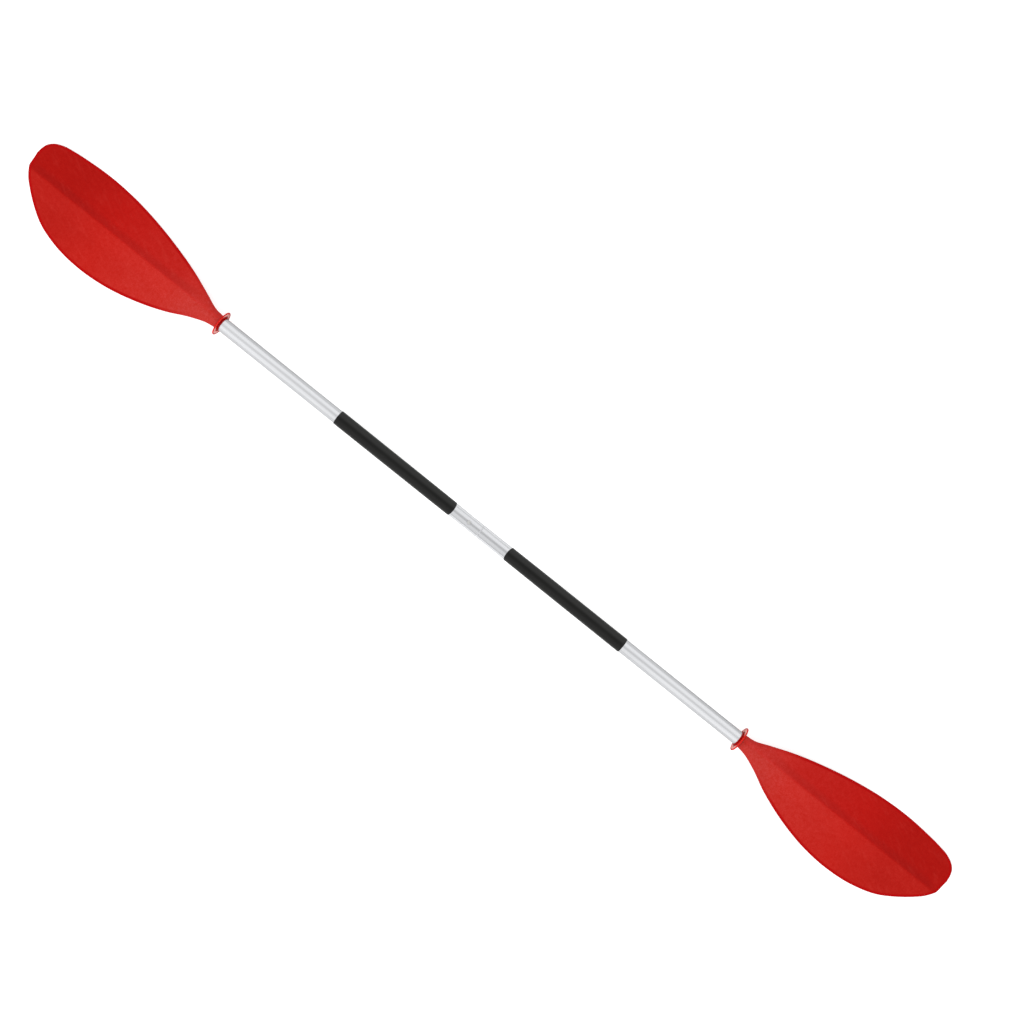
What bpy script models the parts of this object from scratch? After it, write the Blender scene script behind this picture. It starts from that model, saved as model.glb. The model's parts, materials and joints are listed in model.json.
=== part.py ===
"""Two-piece kayak paddle with an aluminium shaft and moulded asymmetric blades.

The shaft runs along X and the blades' power faces look up (+Z). Every piece is modelled about
the shaft's axis, and the two halves hang from empties that lift that axis to AXIS_HEIGHT, so
the paddle lies on z = 0 on the backs of its blades. All sizes are in metres.
"""

import math

import bmesh
import bpy
from mathutils import Matrix, Vector

# Shaft and overall size
LENGTH = 2.200
AXIS_HEIGHT = 0.0263
TUBE_RADIUS = 0.0139
TUBE_WALL = 0.0014
TUBE_BORE = TUBE_RADIUS - TUBE_WALL
TUBE_END = 0.6300
TOUCH_GAP = 0.0003
ROUND_SIDES = 32
SMALL_SIDES = 24
CUTTER_MARGIN = 0.0020
X_AXIS = Vector((1, 0, 0))
Z_AXIS = Vector((0, 0, 1))

# Ferrule joint at the middle of the shaft
SEAL_THICKNESS = 0.0010
FERRULE_RADIUS = TUBE_BORE - TOUCH_GAP
FERRULE_BORE = 0.0109
FERRULE_IN_LEFT = 0.085
FERRULE_IN_RIGHT = 0.075
FERRULE_CHAMFER = 0.0010
FERRULE_RIVETS = {"ferrule_rivet_inner": 0.022, "ferrule_rivet_outer": 0.052}

# Snap button, its holes at the three feather settings, and its leaf spring
BUTTON_X = -0.027
BUTTON_RADIUS = 0.0040
BUTTON_TOP = 0.0155
BUTTON_DOME_HEIGHT = 0.0012
BUTTON_HOLE_RADIUS = 0.0043
BUTTON_FLANGE_RADIUS = 0.0052
BUTTON_FLANGE_BOTTOM = 0.0080
BUTTON_FLANGE_TOP = 0.0093
FEATHER_SETTINGS_DEG = (-90, 0, 90)
SPRING_WIDTH = 0.0070
SPRING_THICKNESS = 0.0006
SPRING_END_X = -0.0335
SPRING_BEND_X = 0.0140
SPRING_BEND_RADIUS = 0.0022
SPRING_LOW_Z = -0.0097
SPRING_HIGH_Z = 0.0073
SPRING_LEG_ANGLE = math.radians(20)

# Grips: thin sleeves, a little thicker towards the blades
GRIP_INNER_END = 0.0660
GRIP_OUTER_END = 0.3435
GRIP_BORE = 0.0140
GRIP_RADIUS_IN = 0.01445
GRIP_RADIUS_OUT = 0.01475
GRIP_LIP = 0.0003

# Drip rings
RING_X = 0.6255
RING_RADIUS = 0.0258
RING_BORE = 0.0142
RING_THICKNESS = 0.0026
RING_HUB_RADIUS = 0.0155
RING_HUB_HALF_LENGTH = 0.0040
RING_FILLET = 0.0012
RING_CORNER = 0.0008

# Foam plugs inside the tubes
PLUG_START = 0.500
PLUG_LENGTH = 0.030
PLUG_CHAMFER = 0.0020

# Rivets, all on the underside, with heads sunk flush in the tube
BLADE_RIVETS = {"blade_rivet_inner": 0.586, "blade_rivet_outer": 0.610}
RIVET_RADIUS = 0.0020
RIVET_HEAD_RADIUS = 0.0033
RIVET_HEAD_FACE = 0.0136
RIVET_HEAD_BASE = 0.0126
RIVET_BULB_RADIUS = 0.0030
RIVET_BULB_LENGTH = 0.0012
RIVET_CLEARANCE = 0.0003
RIVET_HOLE_TOP = 0.0070

# Blade: cored spigot, round neck, then a dihedral blade with a spine
SHOULDER_X = TUBE_END + TOUCH_GAP
NECK_RADIUS = 0.0136
SPIGOT_RADIUS = TUBE_BORE - TOUCH_GAP
SPIGOT_START = 0.5745
CORE_RADIUS = 0.0094
CORE_END = 0.6500
CORE_NOSE_LENGTH = 0.0040
CORE_NOSE_SHARE = 0.6
BLADE_THICKNESS = 0.0030
EDGE_THICKNESS = 0.0022
EDGE_ROUNDING = 0.0010
SPOON_DEPTH = 0.0130
SPOON_PEAK = 4 / 27
LONG_SIDE_SLOPE = 0.166
SHORT_SIDE_SLOPE = 0.149
CREST_OFFSET = 0.0036
CREST_ROUNDING = 0.0020
RIDGE_HEIGHT = 0.0046
RIDGE_LONG_SIDE = 0.0160
RIDGE_SHORT_SIDE = 0.0350
RIDGE_NECK_RISE = 0.0010
RIDGE_NECK_WIDENING = 0.0100
RIDGE_NECK_SHARE = 0.30
RIDGE_FADE_SHARE = 0.93
BACK_RIB_HEIGHT = 0.0090
BACK_RIB_HALF_WIDTH = 0.0160
NECK_BLEND = 0.20
TIP_MARGIN = 0.12
ROUND_REACH = math.radians(84)
RINGS_PER_STATION = 2

# Blade outline: distance from the paddle's middle, short-edge and long-edge half-widths
OUTLINE = (
    (SHOULDER_X, 0.0136, 0.0136),
    (0.649, 0.0166, 0.0155),
    (0.679, 0.0272, 0.0266),
    (0.726, 0.0492, 0.0437),
    (0.788, 0.0708, 0.0611),
    (0.851, 0.0848, 0.0745),
    (0.914, 0.0891, 0.0832),
    (0.974, 0.0823, 0.0857),
    (1.018, 0.0673, 0.0833),
    (1.049, 0.0463, 0.0800),
    (1.071, 0.0267, 0.0757),
    (1.084, 0.0121, 0.0701),
    (1.0915, 0.0001, 0.0643),
    (1.096, -0.0098, 0.0585),
    (1.0985, -0.0262, 0.0503),
    (LENGTH / 2, -0.0320, 0.0420),
)
# Where the points of a blade section lie, as shares of its half-width
ACROSS = (0.0, 0.04, 0.10, 0.18, 0.28, 0.40, 0.55, 0.70, 0.84, 0.965, 1.0)


def clear_scene():
    for item in list(bpy.data.objects):
        bpy.data.objects.remove(item, do_unlink=True)


def linear(channel):
    """One sRGB channel, 0 to 255, as linear light."""
    value = channel / 255
    return value / 12.92 if value <= 0.04045 else ((value + 0.055) / 1.055) ** 2.4


def make_material(name, srgb, roughness, metallic=0.0):
    material = bpy.data.materials.new(name)
    material.use_nodes = True
    shader = material.node_tree.nodes["Principled BSDF"]
    shader.inputs["Base Color"].default_value = (*(linear(c) for c in srgb), 1.0)
    shader.inputs["Roughness"].default_value = roughness
    shader.inputs["Metallic"].default_value = metallic
    return material


def make_materials():
    return {
        "blade": make_material("red_blade_plastic", (188, 26, 20), 0.42),
        "tube": make_material("anodised_aluminium", (222, 223, 225), 0.30, 1.0),
        "grip": make_material("black_sleeve", (38, 38, 37), 0.60),
        "ring": make_material("red_soft_vinyl", (205, 40, 34), 0.35),
        "steel": make_material("stainless_steel", (190, 190, 188), 0.28, 1.0),
        "foam": make_material("closed_cell_foam", (225, 222, 212), 0.90),
        "seal": make_material("pale_silicone", (190, 191, 193), 0.55),
    }


def make_empty(name, location):
    empty = bpy.data.objects.new(name, None)
    bpy.context.scene.collection.objects.link(empty)
    empty.location = location
    return empty


def make_object(name, mesh_bm, material, parent, location=(0, 0, 0)):
    """Turn a bmesh into a named, shaded object under its parent empty."""
    bmesh.ops.recalc_face_normals(mesh_bm, faces=mesh_bm.faces)
    mesh = bpy.data.meshes.new(name)
    mesh_bm.to_mesh(mesh)
    mesh_bm.free()
    mesh.materials.append(material)
    mesh.shade_smooth()
    mesh.set_sharp_from_angle(angle=math.radians(35))
    item = bpy.data.objects.new(name, mesh)
    bpy.context.scene.collection.objects.link(item)
    item.parent = parent
    item.location = location
    return item


def lathe(profile, axis, sides, closed):
    """Spin (along, radius) points about an axis; a closed profile gives a tube or ring."""
    bm = bmesh.new()
    across = Vector((0, 0, 1)) if axis.x else Vector((1, 0, 0))
    points = [bm.verts.new(axis * along + across * radius) for along, radius in profile]
    edges = [bm.edges.new(pair) for pair in zip(points, points[1:])]
    if closed:
        edges.append(bm.edges.new((points[-1], points[0])))
    bmesh.ops.spin(
        bm,
        geom=points + edges,
        axis=axis,
        cent=(0, 0, 0),
        angle=math.tau,
        steps=sides,
        use_merge=True,
    )
    bmesh.ops.remove_doubles(bm, verts=bm.verts, dist=1e-6)
    return bm


def along_shaft(profile, side=1, closed=True):
    """A piece turned about the shaft; side -1 mirrors it to the left half."""
    return lathe([(side * x, r) for x, r in profile], X_AXIS, ROUND_SIDES, closed)


def cut(target, name, cutter_bm, parent, location, turn=0.0):
    """Subtract a hidden cutter that is turned about the shaft's axis."""
    cutter = make_object(name, cutter_bm, None, parent)
    cutter.matrix_local = Matrix.Rotation(turn, 4, "X") @ Matrix.Translation(location)
    cutter.hide_render = True
    cutter.display_type = "WIRE"
    modifier = target.modifiers.new(name, "BOOLEAN")
    modifier.operation = "DIFFERENCE"
    modifier.solver = "EXACT"
    modifier.object = cutter


def tube_profile(start, end, outer, inner):
    return [(start, inner), (start, outer), (end, outer), (end, inner)]


def rivet_hole_cutter():
    """Countersink from outside the tube, then a straight hole; local -Z points outward."""
    hole = RIVET_RADIUS + RIVET_CLEARANCE
    sink = RIVET_HEAD_RADIUS + RIVET_CLEARANCE
    slope = (sink - hole) / (RIVET_HEAD_FACE - RIVET_HEAD_BASE)
    outside = RIVET_HEAD_FACE + CUTTER_MARGIN
    profile = [
        (-outside, 0.0),
        (-outside, sink + slope * (outside - RIVET_HEAD_FACE)),
        (-RIVET_HEAD_BASE, hole),
        (-RIVET_HOLE_TOP, hole),
        (-RIVET_HOLE_TOP, 0.0),
    ]
    return lathe(profile, Z_AXIS, SMALL_SIDES, closed=False)


def make_rivet(name, x, wall_bore, materials, parent):
    """Blind rivet: flush countersunk head outside, set bulb inside the inner sleeve."""
    seat = math.sqrt(wall_bore**2 - RIVET_BULB_RADIUS**2) - TOUCH_GAP
    profile = [
        (-RIVET_HEAD_FACE, 0.0),
        (-RIVET_HEAD_FACE, RIVET_HEAD_RADIUS),
        (-RIVET_HEAD_BASE, RIVET_RADIUS),
        (-seat, RIVET_RADIUS),
        (-seat, RIVET_BULB_RADIUS),
        (-seat + RIVET_BULB_LENGTH, RIVET_BULB_RADIUS * 0.8),
        (-seat + RIVET_BULB_LENGTH, 0.0),
    ]
    bm = lathe(profile, Z_AXIS, SMALL_SIDES, closed=False)
    return make_object(name, bm, materials["steel"], parent, (x, 0, 0))


def make_tube(name, side, rivet_places, materials, parent):
    start = SEAL_THICKNESS / 2 + TOUCH_GAP
    bm = along_shaft(tube_profile(start, TUBE_END, TUBE_RADIUS, TUBE_BORE), side)
    tube = make_object(name, bm, materials["tube"], parent)
    for index, x in enumerate(rivet_places):
        cut(tube, f"{name}_rivet_cutter_{index}", rivet_hole_cutter(), parent, (x, 0, 0))
    return tube


def button_hole_cutter():
    start = FERRULE_BORE / 2
    reach = TUBE_RADIUS + CUTTER_MARGIN
    profile = [
        (start, 0.0),
        (start, BUTTON_HOLE_RADIUS),
        (reach, BUTTON_HOLE_RADIUS),
        (reach, 0.0),
    ]
    return lathe(profile, Z_AXIS, SMALL_SIDES, closed=False)


def make_ferrule(materials, parent):
    """Inner sleeve, fixed in the right tube, with a chamfered nose that enters the left."""
    nose = -FERRULE_IN_LEFT
    profile = [
        (nose, FERRULE_BORE),
        (nose, FERRULE_RADIUS - FERRULE_CHAMFER),
        (nose + FERRULE_CHAMFER, FERRULE_RADIUS),
        (FERRULE_IN_RIGHT, FERRULE_RADIUS),
        (FERRULE_IN_RIGHT, FERRULE_BORE),
    ]
    ferrule = make_object("ferrule", along_shaft(profile), materials["tube"], parent)
    cut(ferrule, "ferrule_button_cutter", button_hole_cutter(), parent, (BUTTON_X, 0, 0))
    for name, x in FERRULE_RIVETS.items():
        cut(ferrule, f"{name}_ferrule_cutter", rivet_hole_cutter(), parent, (x, 0, 0))
        make_rivet(name, x, FERRULE_BORE, materials, parent)


def make_snap_button(materials, parent):
    profile = [
        (BUTTON_FLANGE_BOTTOM, 0.0),
        (BUTTON_FLANGE_BOTTOM, BUTTON_FLANGE_RADIUS),
        (BUTTON_FLANGE_TOP, BUTTON_FLANGE_RADIUS),
        (BUTTON_FLANGE_TOP, BUTTON_RADIUS),
        (BUTTON_TOP - BUTTON_DOME_HEIGHT, BUTTON_RADIUS),
        (BUTTON_TOP - BUTTON_DOME_HEIGHT / 3, BUTTON_RADIUS * 0.85),
        (BUTTON_TOP, BUTTON_RADIUS * 0.5),
        (BUTTON_TOP, 0.0),
    ]
    bm = lathe(profile, Z_AXIS, SMALL_SIDES, closed=False)
    make_object("snap_button", bm, materials["steel"], parent, (BUTTON_X, 0, 0))


def spring_path():
    """Side view of the leaf spring: lower leg, bend, sloping leg, pad under the button."""
    centre_z = SPRING_LOW_Z + SPRING_BEND_RADIUS
    path = [(SPRING_END_X, SPRING_LOW_Z)]
    last = math.pi / 2 - SPRING_LEG_ANGLE
    steps = 8
    for step in range(steps + 1):
        angle = -math.pi / 2 + (last + math.pi / 2) * step / steps
        path.append(
            (
                SPRING_BEND_X + SPRING_BEND_RADIUS * math.cos(angle),
                centre_z + SPRING_BEND_RADIUS * math.sin(angle),
            )
        )
    x, z = path[-1]
    path.append((x - (SPRING_HIGH_Z - z) / math.tan(SPRING_LEG_ANGLE), SPRING_HIGH_Z))
    path.append((SPRING_END_X, SPRING_HIGH_Z))
    return path


def make_button_spring(materials, parent):
    bm = bmesh.new()
    half = SPRING_WIDTH / 2
    points = [bm.verts.new((x, -half, z)) for x, z in spring_path()]
    edges = [bm.edges.new(pair) for pair in zip(points, points[1:])]
    strip = bmesh.ops.extrude_edge_only(bm, edges=edges)
    moved = [item for item in strip["geom"] if isinstance(item, bmesh.types.BMVert)]
    bmesh.ops.translate(bm, verts=moved, vec=(0, SPRING_WIDTH, 0))
    spring = make_object("button_spring", bm, materials["steel"], parent)
    solidify = spring.modifiers.new("thickness", "SOLIDIFY")
    solidify.thickness = SPRING_THICKNESS
    solidify.offset = 0.0


def make_seal_ring(materials, parent):
    half = SEAL_THICKNESS / 2
    profile = tube_profile(-half, half, TUBE_RADIUS, FERRULE_RADIUS + TOUCH_GAP)
    make_object("joint_seal_ring", along_shaft(profile), materials["seal"], parent)


def make_grip(name, side, materials, parent):
    profile = [
        (GRIP_INNER_END, GRIP_BORE),
        (GRIP_INNER_END, GRIP_RADIUS_IN - GRIP_LIP),
        (GRIP_INNER_END + 2 * GRIP_LIP, GRIP_RADIUS_IN),
        (GRIP_OUTER_END - 2 * GRIP_LIP, GRIP_RADIUS_OUT),
        (GRIP_OUTER_END, GRIP_RADIUS_OUT - GRIP_LIP),
        (GRIP_OUTER_END, GRIP_BORE),
    ]
    make_object(name, along_shaft(profile, side), materials["grip"], parent)


def make_drip_ring(name, side, materials, parent):
    """Flat disc on a short hub; the profile is measured from the ring's own plane."""
    half = RING_THICKNESS / 2
    hub = RING_HUB_HALF_LENGTH
    corner = RING_CORNER
    profile = [
        (-hub, RING_BORE),
        (-hub, RING_HUB_RADIUS - corner / 2),
        (-hub + corner, RING_HUB_RADIUS),
        (-half - RING_FILLET, RING_HUB_RADIUS),
        (-half, RING_HUB_RADIUS + RING_FILLET),
        (-half, RING_RADIUS - corner),
        (-half + corner, RING_RADIUS),
        (half - corner, RING_RADIUS),
        (half, RING_RADIUS - corner),
        (half, RING_HUB_RADIUS + RING_FILLET),
        (half + RING_FILLET, RING_HUB_RADIUS),
        (hub - corner, RING_HUB_RADIUS),
        (hub, RING_HUB_RADIUS - corner / 2),
        (hub, RING_BORE),
    ]
    bm = along_shaft(profile, side)
    make_object(name, bm, materials["ring"], parent, (side * RING_X, 0, 0))


def make_float_plug(name, side, materials, parent):
    radius = TUBE_BORE - TOUCH_GAP
    end = PLUG_START + PLUG_LENGTH
    profile = [
        (PLUG_START, 0.0),
        (PLUG_START, radius - PLUG_CHAMFER),
        (PLUG_START + PLUG_CHAMFER, radius),
        (end - PLUG_CHAMFER, radius),
        (end, radius - PLUG_CHAMFER),
        (end, 0.0),
    ]
    bm = along_shaft(profile, side, closed=False)
    make_object(name, bm, materials["foam"], parent)


def smoothstep(value):
    value = min(1.0, max(0.0, value))
    return value * value * (3 - 2 * value)


def spline(points, per_span):
    """Points of a smooth curve through unevenly spaced points, per_span for each gap."""
    points = [Vector(p) for p in points]
    knots = [0.0]
    for a, b in zip(points, points[1:]):
        knots.append(knots[-1] + (b - a).length)
    slopes = [(b - a) / (u - t) for a, b, t, u in zip(points, points[1:], knots, knots[1:])]
    tangents = [slopes[0]]
    for index in range(1, len(slopes)):
        before = knots[index] - knots[index - 1]
        after = knots[index + 1] - knots[index]
        tangents.append((slopes[index - 1] * after + slopes[index] * before) / (before + after))
    tangents.append(slopes[-1])
    curve = []
    for index, (a, b) in enumerate(zip(points, points[1:])):
        reach = (knots[index + 1] - knots[index]) / 3
        handles = (a, a + tangents[index] * reach, b - tangents[index + 1] * reach, b)
        for step in range(per_span):
            t = step / per_span
            weights = ((1 - t) ** 3, 3 * t * (1 - t) ** 2, 3 * t * t * (1 - t), t**3)
            curve.append(sum((p * w for p, w in zip(handles, weights)), Vector((0, 0, 0))))
    curve.append(points[-1])
    return curve


def along_share(x):
    """0 at the blade's shoulder, 1 at its tip."""
    return (x - SHOULDER_X) / (LENGTH / 2 - SHOULDER_X)


def bump(distance, half_width):
    """A ridge's height from 1 at its crest to 0, with nearly straight flanks and a fillet."""
    share = min(1.0, distance / half_width)
    return (1 - share) ** 2 * (1 + share)


def ridge_height(u, from_crest, soft_distance, mean_half_width):
    """The spine on the front: steep towards the long edge, high and broad only at the neck."""
    neck = 1 - smoothstep(u / RIDGE_NECK_SHARE)
    fade = 1 - smoothstep((u - RIDGE_FADE_SHARE) / (1 - RIDGE_FADE_SHARE))
    side = RIDGE_LONG_SIDE if from_crest > 0 else RIDGE_SHORT_SIDE
    half_width = min(side + RIDGE_NECK_WIDENING * neck, 0.8 * mean_half_width)
    return (RIDGE_HEIGHT + RIDGE_NECK_RISE * neck) * fade * bump(soft_distance, half_width)


def blade_heights(x, y, across, mean_half_width):
    """Front and back heights of the blade, measured from the shaft's axis."""
    u = along_share(x)
    from_crest = y - CREST_OFFSET
    soft_distance = math.hypot(from_crest, CREST_ROUNDING) - CREST_ROUNDING
    spoon = SPOON_DEPTH * u * u * (1 - u) / SPOON_PEAK
    slope = LONG_SIDE_SLOPE if from_crest > 0 else SHORT_SIDE_SLOPE
    middle = -spoon - slope * soft_distance
    thinning = max(across**4, u**8)
    half_thickness = (BLADE_THICKNESS - (BLADE_THICKNESS - EDGE_THICKNESS) * thinning) / 2
    rib_width = min(BACK_RIB_HALF_WIDTH, 0.7 * mean_half_width)
    ridge = ridge_height(u, from_crest, soft_distance, mean_half_width)
    rib = BACK_RIB_HEIGHT * (1 - u) * bump(soft_distance, rib_width)
    return middle + half_thickness + ridge, max(middle - half_thickness - rib, -AXIS_HEIGHT)


def section_places():
    """Signed places across a section, from the long edge (+) over the crest to the short."""
    last = len(ACROSS) - 1
    return range(last, -last - 1, -1)


def section_angle(place):
    return ROUND_REACH * place / (len(ACROSS) - 1)


def closed_ring(x, front, back, long_edge, short_edge):
    """Join front and back rows with one more point on each edge."""
    long_middle = (x, long_edge, (front[0][2] + back[0][2]) / 2)
    short_middle = (x, -short_edge, (front[-1][2] + back[-1][2]) / 2)
    return front + [short_middle] + back[::-1] + [long_middle]


def round_section(x, radius):
    angles = [section_angle(place) for place in section_places()]
    front = [(x, radius * math.sin(a), radius * math.cos(a)) for a in angles]
    back = [(x, y, -z) for x, y, z in front]
    return closed_ring(x, front, back, radius, radius)


def blade_section(x, short_edge, long_edge):
    """A section that starts round at the neck and turns into the thin dihedral blade."""
    blend = smoothstep(along_share(x) / NECK_BLEND)
    mean_half_width = (short_edge + long_edge) / 2
    crest_y = max(CREST_OFFSET, 2 * TIP_MARGIN * mean_half_width - short_edge)
    front = []
    back = []
    for place in section_places():
        edge = long_edge - EDGE_ROUNDING if place > 0 else EDGE_ROUNDING - short_edge
        across = ACROSS[abs(place)]
        angle = section_angle(place)
        full_edge = long_edge if place > 0 else short_edge
        round_y = full_edge * math.sin(angle)
        round_z = NECK_RADIUS * math.cos(angle)
        flat_y = crest_y + across * (edge - crest_y)
        y = round_y + (flat_y - round_y) * blend
        top, bottom = blade_heights(x, y, across, mean_half_width)
        front.append((x, y, round_z + (top - round_z) * blend))
        back.append((x, y, -round_z + (bottom + round_z) * blend))
    return closed_ring(x, front, back, long_edge, short_edge)


def loft(sections):
    """Skin a row of equal rings and close both ends."""
    bm = bmesh.new()
    rings = [[bm.verts.new(point) for point in section] for section in sections]
    for ring, following in zip(rings, rings[1:]):
        for index in range(len(ring)):
            corner = index - 1
            bm.faces.new((ring[corner], ring[index], following[index], following[corner]))
    bm.faces.new(rings[0])
    bm.faces.new(rings[-1])
    return bm


def make_blade(name, side, materials, parent):
    """Blade with a hollow spigot; the core starts inside the neck and opens at the spigot."""
    sections = [
        round_section(CORE_END, CORE_RADIUS * CORE_NOSE_SHARE),
        round_section(CORE_END - CORE_NOSE_LENGTH, CORE_RADIUS),
        round_section(SPIGOT_START, CORE_RADIUS),
        round_section(SPIGOT_START, SPIGOT_RADIUS),
        round_section(SHOULDER_X, SPIGOT_RADIUS),
    ]
    sections += [blade_section(*station) for station in spline(OUTLINE, RINGS_PER_STATION)]
    mirrored = [[(side * x, y, z) for x, y, z in section] for section in sections]
    blade = make_object(name, loft(mirrored), materials["blade"], parent)
    for rivet, x in BLADE_RIVETS.items():
        cutter = rivet_hole_cutter()
        cut(blade, f"{name}_{rivet}_cutter", cutter, parent, (side * x, 0, 0))


def make_half(prefix, side, ferrule_rivets, materials, parent):
    """The pieces that both halves have; the left half is the mirror image of the right."""
    rivet_places = [side * x for x in BLADE_RIVETS.values()] + ferrule_rivets
    tube = make_tube(f"{prefix}_shaft_tube", side, rivet_places, materials, parent)
    make_blade(f"{prefix}_blade", side, materials, parent)
    for name, x in BLADE_RIVETS.items():
        make_rivet(f"{prefix}_{name}", side * x, CORE_RADIUS, materials, parent)
    make_grip(f"{prefix}_grip", side, materials, parent)
    make_drip_ring(f"{prefix}_drip_ring", side, materials, parent)
    make_float_plug(f"{prefix}_float_plug", side, materials, parent)
    return tube


def main():
    clear_scene()
    materials = make_materials()
    shaft_axis = (0, 0, AXIS_HEIGHT)
    left_half = make_empty("left_half", shaft_axis)
    right_half = make_empty("right_half", shaft_axis)
    left_tube = make_half("left", -1, [], materials, left_half)
    for setting in FEATHER_SETTINGS_DEG:
        name = f"button_cutter_{setting % 360}"
        turn = math.radians(setting)
        cut(left_tube, name, button_hole_cutter(), left_half, (BUTTON_X, 0, 0), turn)
    make_half("right", 1, list(FERRULE_RIVETS.values()), materials, right_half)
    make_ferrule(materials, right_half)
    make_seal_ring(materials, right_half)
    make_snap_button(materials, right_half)
    make_button_spring(materials, right_half)


main()
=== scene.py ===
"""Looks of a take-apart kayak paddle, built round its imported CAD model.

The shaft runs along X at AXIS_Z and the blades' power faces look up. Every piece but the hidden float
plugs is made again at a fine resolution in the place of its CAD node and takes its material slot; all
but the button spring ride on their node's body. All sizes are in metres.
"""

import json
import math

import bmesh
import bpy
import numpy as np
from mathutils import Matrix, Vector


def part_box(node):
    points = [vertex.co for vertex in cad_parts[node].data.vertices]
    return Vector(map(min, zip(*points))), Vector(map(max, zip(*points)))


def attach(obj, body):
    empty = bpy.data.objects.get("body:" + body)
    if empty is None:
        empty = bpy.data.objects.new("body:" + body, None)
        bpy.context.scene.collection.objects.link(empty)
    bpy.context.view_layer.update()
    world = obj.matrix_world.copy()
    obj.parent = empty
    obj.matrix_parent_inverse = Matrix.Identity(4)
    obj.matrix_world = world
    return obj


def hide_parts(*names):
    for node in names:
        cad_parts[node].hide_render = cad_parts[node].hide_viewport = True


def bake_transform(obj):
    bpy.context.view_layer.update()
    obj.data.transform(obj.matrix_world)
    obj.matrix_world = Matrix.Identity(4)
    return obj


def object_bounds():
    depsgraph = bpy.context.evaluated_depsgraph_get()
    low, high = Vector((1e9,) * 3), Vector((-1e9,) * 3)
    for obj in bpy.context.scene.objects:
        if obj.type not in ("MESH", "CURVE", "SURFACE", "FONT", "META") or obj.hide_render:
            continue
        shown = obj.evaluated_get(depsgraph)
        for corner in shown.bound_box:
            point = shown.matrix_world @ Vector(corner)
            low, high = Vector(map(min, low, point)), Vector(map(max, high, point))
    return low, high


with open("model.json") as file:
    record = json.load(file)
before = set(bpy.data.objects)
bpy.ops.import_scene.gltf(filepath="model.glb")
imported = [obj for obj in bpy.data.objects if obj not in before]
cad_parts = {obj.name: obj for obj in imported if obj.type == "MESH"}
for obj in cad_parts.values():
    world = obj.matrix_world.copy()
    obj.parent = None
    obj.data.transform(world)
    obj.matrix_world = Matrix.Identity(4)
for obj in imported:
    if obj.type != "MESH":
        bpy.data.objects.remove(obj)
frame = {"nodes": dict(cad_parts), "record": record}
cad_low, cad_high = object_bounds()

BODY_OF = {n: body for body, nodes in frame["record"]["behaviour"]["bodies"].items() for n in nodes}
SLOT_OF = {row["node"]: row["material_slot"] for row in frame["record"]["subparts"]}


def box_middle(node):
    low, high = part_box(node)
    return (low + high) / 2


def box_radius(node):
    """Radius of a round piece on the shaft, from its box's width across the paddle."""
    low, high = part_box(node)
    return (high.y - low.y) / 2


def near_and_far(node):
    """Distances of a piece's two ends from the middle of the shaft."""
    low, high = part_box(node)
    return sorted((abs(low.x), abs(high.x)))


SIDES = {"left": -1, "right": 1}
HALF_LENGTH = cad_high.x
AXIS_Z = box_middle("left_shaft_tube").z
TOUCH_GAP = 0.0003

# Tubes and the ferrule joint between them
TUBE_RADIUS = box_radius("left_shaft_tube")
TUBE_WALL = 0.0014
TUBE_BORE = TUBE_RADIUS - TUBE_WALL
TUBE_START, TUBE_END = near_and_far("left_shaft_tube")
TUBE_DEBURR = 0.00025
FERRULE_RADIUS = box_radius("ferrule")
FERRULE_BORE = 0.0109
FERRULE_NOSE = 0.0012
SEAL_BULGE = 0.00012

# Snap button
BUTTON_X = box_middle("snap_button").x
BUTTON_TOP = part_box("snap_button")[1].z - AXIS_Z
BUTTON_RADIUS = 0.0040
BUTTON_HOLE_RADIUS = 0.0043
BUTTON_FLANGE_RADIUS = box_radius("snap_button")
BUTTON_FLANGE_TOP = 0.0093
BUTTON_SHOULDER = 0.0011
BUTTON_CROWN = 0.0003
FEATHER_SETTINGS_DEG = (-90, 0, 90)

# Leaf spring under the button
SPRING_WIDTH = 0.0070
SPRING_THICKNESS = 0.0006
SPRING_EDGE = 0.0001
SPRING_BEND_RADIUS = 0.0022
SPRING_LEG_DEG = 20

# Rivets: flush heads on the underside, set bulbs inside
RIVET_RADIUS = 0.0020
RIVET_HEAD_RADIUS = 0.0033
RIVET_HEAD_FACE = 0.0136
RIVET_HEAD_BASE = 0.0126
RIVET_BULB_RADIUS = 0.0030
RIVET_BULB_LENGTH = 0.0012
RIVET_CLEARANCE = 0.0003
RIVET_DIMPLE_RADIUS = 0.0011
RIVET_DIMPLE_DEPTH = 0.0007
RIVET_EDGE = 0.0001
RIVET_HOLE_OUTSIDE = 0.0151
RIVET_HOLE_INSIDE = 0.0070

# Grips: their inner ends are scalloped, reaching further in on both faces of the paddle
GRIP_BORE = 0.0140
GRIP_RADIUS_IN = 0.01445
GRIP_RADIUS_OUT = box_radius("left_grip")
GRIP_SCALLOP = 0.0045
GRIP_LIP = 0.00045

# Drip rings: a thin web with a round bead at its rim, on a short hub
RING_BORE = 0.0142
RING_RADIUS = box_radius("left_drip_ring")
RING_THICKNESS = 0.0026
RING_WEB = 0.0014
RING_HUB_RADIUS = 0.0155
RING_FILLET = 0.0009
RING_CORNER = 0.0005
RING_BEAD_DEG = 57

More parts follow.
